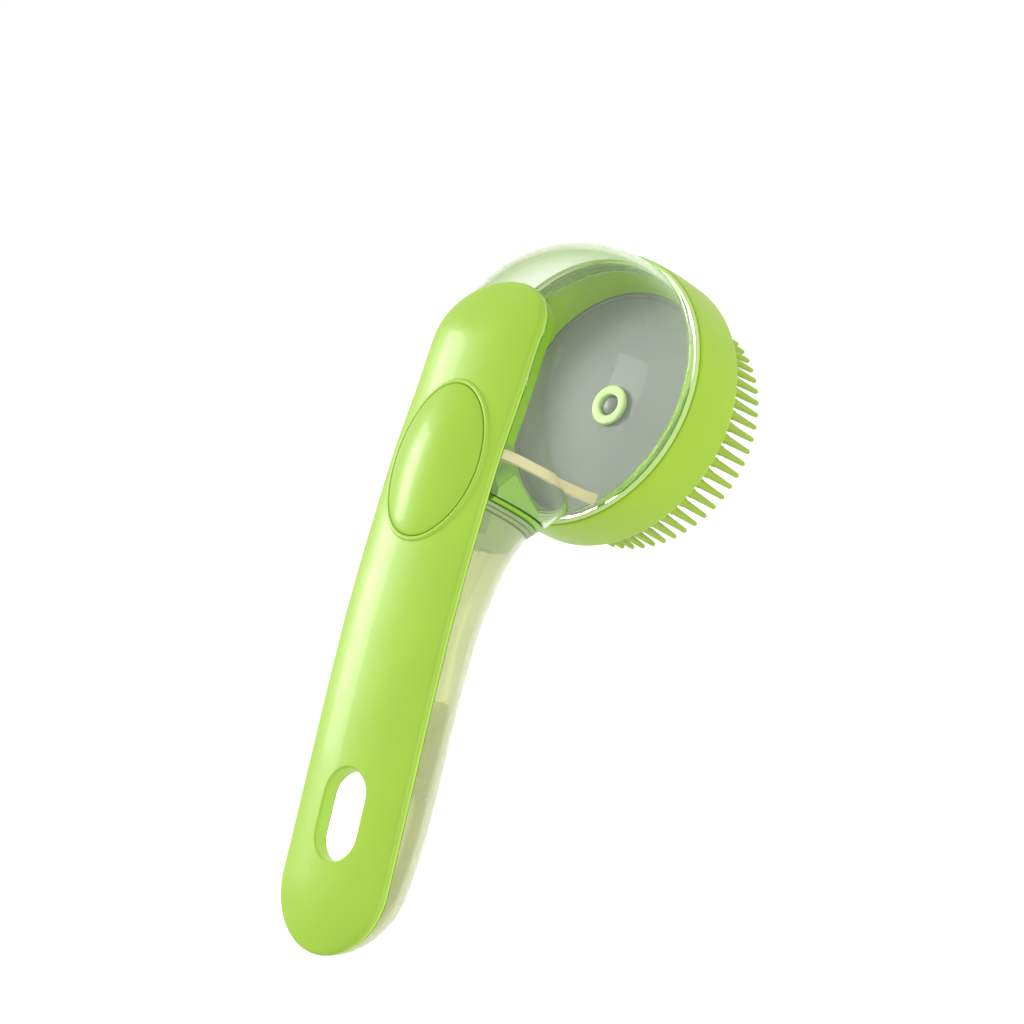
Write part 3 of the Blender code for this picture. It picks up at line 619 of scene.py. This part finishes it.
def make_head_dome():
    """Clear dome with its spigot, and the neck that runs on over it as a flat ridge under the lid."""
    spigot = [(0.0, SKIRT_Z), (SKIRT_R - 0.3, SKIRT_Z), (SKIRT_R, SKIRT_Z + 0.3), (SKIRT_R, SNAP_Z - 0.5),
              (SKIRT_R + 0.35, SNAP_Z), (SKIRT_R, SNAP_Z + 0.5), (SKIRT_R, DOME_FOOT_Z)]
    dome = turned("clear_dome", spigot + dome_profile(0.0), FINISHES["clear_plastic"])
    bore = SKIRT_R - SPIGOT_WALL
    hollow = turned("dome_hollow", [(0.0, SKIRT_Z - 5), (bore, SKIRT_Z - 5), (bore, DOME_FOOT_Z + 0.8)]
                    + dome_profile(WALL)[1:])
    trim = COVER_HALF - SHELL_HALF
    stations = spread(NECK_END_X, NOSE_X, 36)[:-1] + nose_stations(trim)
    neck = loft("neck_block", [trough_section(x, 0.0, band=RIDGE_BAND) for x in stations])
    neck_hollow = loft("neck_hollow", [trough_section(x, WALL, raise_top=8.0)
                                       for x in spread(NECK_END_X - 4, NECK_OPEN_X, 26)])
    ridge_stations = spread(NECK_OPEN_X - 2, NOSE_X, 12)[:-1] + nose_stations(trim + WALL)
    ridge_hollow = loft("ridge_hollow", [trough_section(x, WALL, level=shell_top(x) - WALL)
                                         for x in ridge_stations])
    join(dome, neck)
    cut(dome, hollow, neck_hollow, ridge_hollow)
    paint_ridge_refraction(dome)
    settle(dome, "head_dome", "handle")


def paint_ridge_refraction(dome):
    """Paints the ridge's flanks just under the lid green, from the gasket to the nose: a painted refraction
    that stands in for the green ring wall seen through the dome.
    """
    dome.data.materials.append(FINISHES["ridge_painted_refraction"])
    for face in dome.data.polygons:
        x, y, z = face.center / MM
        on_flank = half_width(x, SHELL_HALF, 0.8) < abs(y) < half_width(x, SHELL_HALF, -0.15)
        if on_flank and x > GASKET_X[1] and z - FRAME_Z > shell_top(x) - RIDGE_BAND:
            face.material_index = 1


def make_head_ring():
    """Sloping green ring with a rounded rim, a rounded foot and a conical inner wall."""
    bore = SKIRT_R + GAP
    rim_round = 0.7
    foot_round = 1.6
    wall_drop = 14.6
    belly = 0.25
    profile = [(bore, RIM_Z)] + arc(RIM_R - rim_round, RIM_Z - rim_round, rim_round, 90, 2)
    for i in range(1, 8):
        t = i / 8
        wall_r = RIM_R + (FOOT_R - RIM_R) * t + belly * math.sin(math.pi * t)
        profile.append((wall_r, RIM_Z - rim_round - wall_drop * t))
    profile += arc(FOOT_R - foot_round, 0.2, foot_round, 0, -70, steps=8)
    profile += [(FOOT_R - 2.4, -2.6), (PLATE_R + GAP, -2.9), (PLATE_R + GAP, PLATE_TOP_Z + GAP),
                (RING_LIP_R, PLATE_TOP_Z + GAP), (RING_LIP_R + 0.1, PLATE_TOP_Z + 0.9),
                (bore - 0.8, SKIRT_Z - 0.6), (bore, SKIRT_Z - 0.4),
                (bore, SNAP_Z - 0.7), (bore + 0.45, SNAP_Z), (bore, SNAP_Z + 0.7)]
    ring = turned("brush_ring", profile, FINISHES["ring_green"], steps=FINE_STEPS)
    settle(ring, "head_ring", "brush_head")


def make_ring_seal():
    """Thin seal between dome and ring, with a low lip round the dome's foot."""
    lip_z = DOME_FOOT_Z + 0.8
    profile = [(SKIRT_R + GAP, RIM_Z + GAP), (RIM_R - 0.5, RIM_Z + GAP), (RIM_R - 0.3, RIM_Z + 0.5),
               (RIM_R - 0.35, lip_z - 0.2), (RIM_R - 0.55, lip_z), (DOME_R + GAP, lip_z - 0.2),
               (DOME_R + GAP, DOME_FOOT_Z - GAP), (SKIRT_R + GAP, DOME_FOOT_Z - GAP)]
    seal = turned("joint_seal", profile, FINISHES["joint_green"])
    settle(seal, "ring_seal", "brush_head")


def make_valve_plate():
    """Grey plate with a hole for the grommet and a shallow groove near its rim."""
    low, top = PLATE_LOW_Z, PLATE_TOP_Z
    groove = [(34.2, top), (33.9, top - 0.25), (33.2, top - 0.25), (32.9, top)]
    profile = [(PLATE_HOLE_R, low), (PLATE_R, low), (PLATE_R, top)] + groove + [(PLATE_HOLE_R, top)]
    plate = turned("grey_plate", profile, FINISHES["grey_plastic"])
    settle(plate, "valve_plate", "brush_head")


def make_valve_grommet():
    """Pale rubber grommet with a thick rolled collar on top of the plate."""
    top = PLATE_TOP_Z + GAP
    profile = [(3.1, 0.3), (4.2, 0.3), (4.2, top), (5.7, top)] + arc(5.3, top + 0.6, 0.6, -20, 80)
    profile += arc(3.7, top + 0.6, 0.6, 100, 180) + [(3.1, 1.5)]
    grommet = turned("pale_grommet", profile, FINISHES["pale_silicone"], steps=96)
    settle(grommet, "valve_grommet", "brush_head")


def make_poppet():
    """Round-headed valve pin in the grommet."""
    stem_r = 2.6
    shoulder_z = 1.9
    head_rise = 1.6
    profile = [(0.0, -1.1), (3.6, -1.1), (3.8, -0.9), (3.8, 0.0), (stem_r, 0.0), (stem_r, shoulder_z)]
    for turn in range(10, 90, 10):
        out, up = math.cos(math.radians(turn)), math.sin(math.radians(turn))
        profile.append((stem_r * out, shoulder_z + head_rise * up))
    profile.append((0.0, shoulder_z + head_rise))
    pin = turned("poppet_pin", profile, FINISHES["grey_plastic"], steps=64)
    settle(pin, "outlet_poppet", "poppet")


def make_spray_disc():
    """Cup with a rounded edge and two circles of fine holes through its floor."""
    low = SPRAY_LOW_Z
    floor = low + SPRAY_FLOOR
    profile = [(0.0, low), (SPRAY_R - 1.0, low)] + arc(SPRAY_R - 1.0, low + 1.0, 1.0, -80, 0)
    profile += [(SPRAY_R, PAD_TOP_Z), (SPRAY_R - WALL, PAD_TOP_Z), (SPRAY_R - WALL, floor), (0.0, floor)]
    disc = turned("spray_rose", profile, FINISHES["green_plastic"], steps=96)
    drill = [(0.0, low - 2), (SPRAY_HOLE_R, low - 2), (SPRAY_HOLE_R, low + 3), (0.0, low + 3)]
    holes = []
    for ring_radius, count in SPRAY_HOLES:
        for i in range(count):
            turn = 2 * math.pi * (i + 0.5) / count
            centre = (ring_radius * math.cos(turn), ring_radius * math.sin(turn))
            holes.append(turned("spray_hole", drill, centre=centre, steps=20))
    cut(disc, *holes)
    settle(disc, "spray_disc", "brush_head")


def bristle_rings(radius, turn, sides=14):
    """Rings of one bristle: a flared root, a stout base with a small step, a taper and a round tip."""
    length = PAD_LOW_Z - BRISTLE_TIP_Z
    stages = list(BRISTLE_STAGES)
    for tip_turn in (0, 30, 55, 75, 88):
        out, down = math.cos(math.radians(tip_turn)), math.sin(math.radians(tip_turn))
        stages.append((length - BRISTLE_TIP_ROUND * (1 - down), BRISTLE_TIP_R * out))
    rings = []
    for depth, thickness in stages:
        grow = 1 + (BRISTLE_SPLAY - 1) * max(depth, 0.0) / length
        x, y = radius * grow * math.cos(turn), radius * grow * math.sin(turn)
        ring = []
        for k in range(sides):
            about = turn + 2 * math.pi * k / sides
            ring.append((x + thickness * math.cos(about), y + thickness * math.sin(about), PAD_LOW_Z - depth))
        rings.append(ring)
    return rings


def make_bristle_pad():
    """Silicone pad with every bristle grown out of its lower face."""
    profile = [(SPRAY_R + GAP, PAD_LOW_Z), (PLATE_R, PAD_LOW_Z), (PLATE_R, PAD_TOP_Z),
               (SPRAY_R + GAP, PAD_TOP_Z)]
    pad = turned("silicone_pad", profile, FINISHES["green_silicone"])
    points = []
    faces = []
    for row, (radius, count) in enumerate(BRISTLE_ROWS):
        for i in range(count):
            rings = bristle_rings(radius, 2 * math.pi * (i + 0.5 * (row % 2)) / count)
            base = len(points)
            sides = len(rings[0])
            points += [point for ring in rings for point in ring]
            faces.append([base + k for k in range(sides)])
            faces.append([base + (len(rings) - 1) * sides + k for k in range(sides)])
            for level in range(len(rings) - 1):
                start = base + level * sides
                for k in range(sides):
                    m = (k + 1) % sides
                    faces.append([start + k, start + m, start + sides + m, start + sides + k])
    join(pad, new_piece("pad_bristles", points, faces, crease=60))
    settle(pad, "bristle_pad", "brush_head")


def make_pad_retainer():
    """Thin hoop in the ring's foot that holds the pad up."""
    top = PAD_LOW_Z - GAP
    profile = [(34.9, top), (35.0, -2.4), (35.3, -2.7), (PLATE_R - 0.2, -2.7), (PLATE_R, -2.5),
               (PLATE_R, top)]
    hoop = turned("pad_hoop", profile, FINISHES["ring_green"], steps=FINE_STEPS)
    settle(hoop, "pad_retainer", "brush_head")


# ---------------------------------------------------------------- neck joint

def make_neck_plug():
    """Green plug that closes the head's neck, with its flange and its pointed, bowed nose."""
    stations = spread(PLUG_BACK_X, NOSE_LIMIT_X + 2, 26)
    plug = loft("neck_core", [trough_section(x, WALL + GAP) for x in stations], FINISHES["deep_green"])
    low, high = FLANGE_X
    flange_stations = ((low, 0.4), (low + 0.3, 0.0), (high - 0.3, 0.0), (high, 0.4))
    flange = loft("plug_flange", [trough_section(x, inset) for x, inset in flange_stations])
    side = SHELL_HALF - WALL
    deck_outline = [(-70, -side), (-20, -side), (-20, side), (-70, side)]
    deck_space = prism("plug_deck_space", deck_outline, PLUG_TOP_Z, ABOVE_Z + 10)
    join(plug, flange)
    cut(plug, deck_space, nose_space(), *pump_spaces())
    settle(plug, "neck_plug", "handle")


def nose_space():
    """Cutter in front of the plug that leaves its nose: bowed in plan and pointed in side view."""
    levels = []
    half = SHELL_HALF + 1
    steps = 28
    tip_x, tip_z = NOSE_TIP
    for z in (10.0, 20.0, 30.0, 40.0, tip_z, 54.0, 60.0):
        ring = []
        for i in range(steps + 1):
            y = -half + 2 * half * i / steps
            bulge = NOSE_BULGE * (1 - min(abs(y) / (SHELL_HALF - WALL), 1.0) ** 3)
            setback = NOSE_LOWER_SLOPE * max(tip_z - z, 0.0) + NOSE_UPPER_SLOPE * max(z - tip_z, 0.0)
            ring.append((min(tip_x - setback + bulge, NOSE_LIMIT_X), y, z))
        ring.append((NOSE_LIMIT_X + 5, half, z))
        ring.append((NOSE_LIMIT_X + 5, -half, z))
        levels.append(ring)
    return loft("plug_nose_space", levels)


def pump_spaces():
    """Cutters for the pump's stepped well, the dip tube's channel and the outlet tube's hole."""
    pump_low, pump_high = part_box("pump_cylinder")
    pump_x = (pump_low.x + pump_high.x) / 2 / MM
    seat_low = span("inlet_valve_seat", 2)[0] - FRAME_Z
    seat_r = (span("inlet_valve_seat", 0)[1] - span("inlet_valve_seat", 0)[0]) / 2
    cylinder_low = pump_low.z / MM - FRAME_Z
    profile = [(0.0, INLET_Z), (1.3, INLET_Z), (1.3, seat_low - GAP), (seat_r + GAP, seat_low - GAP),
               (seat_r + GAP, cylinder_low - GAP), (PUMP_WELL_R, cylinder_low - GAP), (PUMP_WELL_R, ABOVE_Z),
               (0.0, ABOVE_Z)]
    well = turned("plug_well", profile, centre=(pump_x, 0.0), steps=64)
    channel_route = [(pump_x + 2.4, 0, INLET_Z), (PLUG_BACK_X - 3, 0, INLET_Z)]
    channel = tube_along("plug_channel", channel_route, 1.8, sides=24)
    outlet_route = [(pump_x + 5, 0, OUTLET_Z), (pump_x + 18, 0, OUTLET_Z)]
    outlet = tube_along("plug_outlet", outlet_route, 2.1, sides=24)
    return well, channel, outlet


def make_neck_seal():
    """Dark band behind the flange, with one shallow groove round it."""
    low, high = SEAL_X
    stations = ((low, 0.35), (low + 0.3, 0.0), (low + 1.0, 0.0), (low + 1.25, 0.45), (low + 1.5, 0.0),
                (high - 0.3, 0.0), (high, 0.35))
    seal = loft("neck_band", [trough_section(x, inset) for x, inset in stations], FINISHES["dark_rubber"])
    cut(seal, loft("seal_opening", [trough_section(x, WALL, raise_top=8.0) for x in (low - 2, high + 2)]))
    settle(seal, "neck_seal", "handle")


def make_neck_gasket():
    """Cream strip that frames the mouth of the neck, its feet spread where they meet the ring."""
    foot = DOME_FOOT_Z + 1.6
    outer = ((18.9, foot), (17.4, 20.5), (16.2, 24.0), (15.2, 28.0), (14.8, 33.0), (14.5, 40.0), (14.2, 46.0),
             (13.2, 50.3), (11.0, 52.6))
    inner = ((16.6, foot), (15.4, 20.8), (14.6, 24.0), (13.7, 28.0), (13.3, 33.0), (13.0, 40.0), (12.7, 45.5),
             (11.6, 49.4), (10.0, 51.2))
    low_x, high_x = GASKET_X
    rings = []
    route = [(y, z, v, w) for (y, z), (v, w) in zip(outer, inner)]
    route += [(-y, z, -v, w) for y, z, v, w in reversed(route)]
    for y, z, v, w in route:
        rings.append([(low_x + 0.3, y, z), (high_x - 0.3, y, z), (high_x, (y + v) / 2, (z + w) / 2),
                      (high_x - 0.3, v, w), (low_x + 0.3, v, w), (low_x, (y + v) / 2, (z + w) / 2)])
    strip = loft("cream_strip", rings, FINISHES["cream_rubber"])
    settle(strip, "neck_gasket", "handle")


# ---------------------------------------------------------------- handle

def make_handle_shell():
    """Clear tub with a post left standing round the slot and a sleeve that carries it up through the lid."""
    trim = COVER_HALF - SHELL_HALF
    outer_stations = tail_stations(trim) + spread(TAIL_X, TUB_FRONT_X, 50)[1:]
    inner_stations = tail_stations(trim + WALL) + spread(TAIL_X, TUB_FRONT_X + 4, 50)[1:]
    shell = loft("clear_tub", [trough_section(x, 0.0) for x in outer_stations], FINISHES["tub_plastic"])
    hollow = loft("tub_hollow", [trough_section(x, WALL, raise_top=8.0) for x in inner_stations])
    cut(hollow, prism("slot_post", grown_slot(SLOT_WALL), BELOW_Z, ABOVE_Z))
    cut(shell, hollow)
    sleeve_outline = grown_slot(SLEEVE_WALL)
    sleeve = loft("slot_sleeve", [[(x, y, 45.0) for x, y in sleeve_outline],
                                  [(x, y, edge_z(x) - COVER_SKIRT - GAP) for x, y in sleeve_outline]])
    join(shell, sleeve)
    hole = prism("slot_hole", grown_slot(0.0), BELOW_Z, ABOVE_Z)
    # the slot's inner wall takes the painted near-white glow
    hole.data.materials.append(FINISHES["slot_wall"])
    cut(shell, hole)
    settle(shell, "handle_shell", "handle")


def make_foam(name, node, first, last, top, front_drop):
    """A soft foam insert with rounded ends and a slot opening."""
    rings = []
    for x in spread(first, last, 40):
        end = min((min(x - first, last - x)) / FOAM_SOFTNESS, 1.0)
        shrink = FOAM_SOFTNESS * (1 - math.sqrt(1 - (1 - end) ** 2))
        closing = max((x - (last - FOAM_FRONT_SLOPE)) / FOAM_FRONT_SLOPE, 0.0)
        level = top - shrink - front_drop * closing ** 2
        rings.append(trough_section(x, WALL + FOAM_GAP + shrink * 0.6, level=level))
    block = loft(name, rings, FINISHES["foam"])
    cut(block, prism(name + "_slot", grown_slot(SLOT_WALL + FOAM_GAP), BELOW_Z, ABOVE_Z))
    settle(block, node, "handle")


def make_foams():
    make_foam("front_foam", "filter_foam_front", FOAM_SPLIT_X + GAP, FOAM_FRONT_X, FOAM_TOP_Z, 4.5)
    make_foam("rear_foam", "filter_foam_rear", FOAM_REAR_X, FOAM_SPLIT_X, FOAM_REAR_TOP_Z, 0.0)


def slot_bit(radius=0.8):
    """Cutter of the cover's slot: straight below and flared to a rounded lip at the crowned face."""
    rings = [[(x, y, BELOW_Z) for x, y in grown_slot(0.0)]]
    for turn in (0, 20, 40, 58, 72):
        grow = radius * (1 - math.cos(math.radians(turn)))
        rise = radius * (math.sin(math.radians(turn)) - 1)
        rings.append(on_cover(grown_slot(grow), rise))
    rings.append(on_cover(grown_slot(radius), 0.25))
    return loft("slot_bit", rings)


def make_spine_cover():
    """Green spine cover: crowned face, rounded edge, slot collar and the bead round the button."""
    edge_r = 0.55
    middle = 17.7
    profile = [(inset, lambda x, inset=inset: cover_height(x, inset))
               for inset in (middle, 15.5, 13.0, 10.5, 8.0, 6.0, 4.2, 2.8, 1.7, 1.0)]
    for turn in (70, 45, 22, 0):
        inset = edge_r * (1 - math.cos(math.radians(turn)))
        drop = edge_r * (1 - math.sin(math.radians(turn)))
        profile.append((inset, lambda x, inset=inset, drop=drop: cover_height(x, inset) - drop))
    profile.append((0.0, lambda x: edge_z(x) - COVER_SKIRT + 0.15))
    profile.append((0.15, lambda x: edge_z(x) - COVER_SKIRT))
    profile.append((COVER_WALL, lambda x: edge_z(x) - COVER_SKIRT))
    for inset in (COVER_WALL, 3.0, 5.0, 8.0, 12.0, middle):
        profile.append((inset, lambda x, inset=inset: cover_height(x, inset) - COVER_WALL + 0.4))
    cover = plan_solid("green_spine", profile, COVER_HALF, FINISHES["green_plastic"])

    outline = grown_slot(SLOT_WALL)
    collar_foot = [(x, y, edge_z(x) - COVER_SKIRT) for x, y in outline]
    collar = loft("slot_collar", [collar_foot, on_cover(outline, -0.7)])
    bead_route = on_cover(grown_button(BEAD_OFFSET), BEAD_LIFT)
    bead = tube_along("button_bead", bead_route, BEAD_R, sides=16, closed=True)
    button_hole = prism("button_hole", grown_button(BUTTON_HOLE_GAP), 50.0, ABOVE_Z)
    join(cover, collar, bead)
    cut(cover, slot_bit(), button_hole)
    settle(cover, "spine_cover", "handle")


def make_tank_lid():
    """Thin green lid whose edge shows as a ledge under the cover; its finish carries a painted glow that
    lifts that edge out of shade.
    """
    top = COVER_SKIRT + GAP
    low = top + LID_THICKNESS
    middle = 17.6
    edge_r = 0.25
    profile = [(middle, lambda x: edge_z(x) - top), (GAP + edge_r, lambda x: edge_z(x) - top),
               (GAP, lambda x: edge_z(x) - top - edge_r), (GAP, lambda x: edge_z(x) - low + edge_r),
               (GAP + edge_r, lambda x: edge_z(x) - low), (middle, lambda x: edge_z(x) - low)]
    lid = plan_solid("green_lid", profile, COVER_HALF, FINISHES["lid_green"])
    opening = prism("lid_opening", grown_button(0.6), 40.0, ABOVE_Z)
    slot = prism("lid_slot", grown_slot(SLOT_WALL + GAP), BELOW_Z, ABOVE_Z + 10)
    cut(lid, opening, slot)
    settle(lid, "tank_lid", "handle")


def button_solid(name, inset, foot_z, scales, finish=None, roll=0.0):
    """The button's domed oval over the cover's crown, shrunk by inset, with a rolled edge."""
    semi_x, semi_y = BUTTON_SEMI[0] + BUTTON_GROW - inset, BUTTON_SEMI[1] + BUTTON_GROW - inset
    rings = [[(x, y, foot_z) for x, y in ellipse(BUTTON_X, semi_x, semi_y)]]
    for turn in (0, 25, 50, 70) if roll else ():
        shrink = roll * (1 - math.cos(math.radians(turn)))
        drop = roll * (1 - math.sin(math.radians(turn)))
        rings.append(on_cover(ellipse(BUTTON_X, semi_x - shrink, semi_y - shrink), BUTTON_LIFT - drop))
    for scale in scales:
        rise = BUTTON_LIFT - inset + BUTTON_CROWN * (1 - scale ** 2)
        rings.append(on_cover(ellipse(BUTTON_X, semi_x * scale, semi_y * scale), rise))
    return loft(name, rings, finish)


def make_thumb_button():
    """Domed oval button with a rolled edge, hollow underneath."""
    scales = (0.95, 0.9, 0.82, 0.72, 0.6, 0.47, 0.34, 0.22, 0.1, 0.03)
    button = button_solid("oval_button", 0.0, BUTTON_SKIRT_Z, scales, FINISHES["green_plastic"], roll=0.35)
    cut(button, button_solid("button_hollow", WALL, BUTTON_SKIRT_Z - 2, (1.0, 0.9, 0.75, 0.55, 0.35, 0.15)))
    settle(button, "thumb_button", "button")


# ---------------------------------------------------------------- stage

def make_stage():
    """Pale floor well below the object and a bright even surround."""
    floor_z = -0.32
    bpy.ops.mesh.primitive_plane_add(size=12.0, location=(0.0, 0.0, floor_z))
    floor = bpy.context.object
    floor.name = "pale_floor"
    made, tree, shader = node_material("pale_floor")
    vary_colour(tree, shader, (0.93, 0.93, 0.93), 0.01, 3)
    shader.inputs["Roughness"].default_value = 0.9
    shader.inputs["Emission Color"].default_value = (1.0, 1.0, 1.0, 1)
    shader.inputs["Emission Strength"].default_value = 0.12
    floor.data.materials.append(made)

    world = bpy.data.worlds.new("studio")
    bpy.context.scene.world = world
    world.use_nodes = True
    world.node_tree.nodes["Background"].inputs["Color"].default_value = (1.0, 1.0, 1.0, 1)
    world.node_tree.nodes["Background"].inputs["Strength"].default_value = 0.62
    bpy.context.scene.view_settings.view_transform = 'Standard'


def soft_light(name, place, target, size, watts):
    """A rectangular lamp that faces target."""
    data = bpy.data.lights.new(name, 'AREA')
    data.shape = 'RECTANGLE'
    data.size, data.size_y = size
    data.energy = watts
    lamp = bpy.data.objects.new(name, data)
    lamp.location = place
    lamp.rotation_euler = (Vector(target) - Vector(place)).to_track_quat('-Z', 'Y').to_euler()
    bpy.context.scene.collection.objects.link(lamp)
    return lamp


def make_lights():
    middle = (-0.07, 0.0, 0.04)
    soft_light("strip_light", (0.10, 0.82, 0.515), middle, (0.50, 0.33), 5.5)
    top = soft_light("top_light", (-0.05, 0.25, 1.2), middle, (0.8, 0.8), 3.5)
    top.visible_glossy = False
    soft_light("fill_light", (-0.15, -1.10, 0.30), middle, (1.2, 0.7), 4.4)


def make_camera():
    """Camera above and beside the handle, rolled so that the head is at the top right."""
    place = to_row((-162.46, -432.24, 489.28))
    target = to_row((-29.824, 38.132, -11.878))
    roll = Matrix.Rotation(math.radians(-62.2784), 4, 'Z')
    data = bpy.data.cameras.new("camera")
    data.sensor_width = 36.0
    data.lens = 84.375
    camera = bpy.data.objects.new("camera", data)
    aim = (target - place).to_track_quat('-Z', 'Y').to_matrix().to_4x4()
    camera.matrix_world = Matrix.Translation(place) @ aim @ roll
    bpy.context.scene.collection.objects.link(camera)
    bpy.context.scene.camera = camera


def paint_cad_nodes():
    """Gives every CAD node that still shows the finish of its record slot."""
    for entry in frame["record"]["subparts"]:
        node = frame["nodes"][entry["node"]]
        if not node.hide_render:
            finish = "clear_tube" if entry["node"] in ("dip_tube", "outlet_tube") else entry["material_slot"]
            node.data.materials.clear()
            node.data.materials.append(FINISHES[finish])


for make in (make_camera, make_stage, make_lights,
             make_head_dome, make_head_ring, make_ring_seal,
             make_valve_plate, make_valve_grommet, make_poppet,
             make_spray_disc, make_bristle_pad, make_pad_retainer,
             make_neck_plug, make_neck_seal, make_neck_gasket,
             make_handle_shell, make_foams, make_spine_cover, make_tank_lid, make_thumb_button):
    make()
paint_cad_nodes()
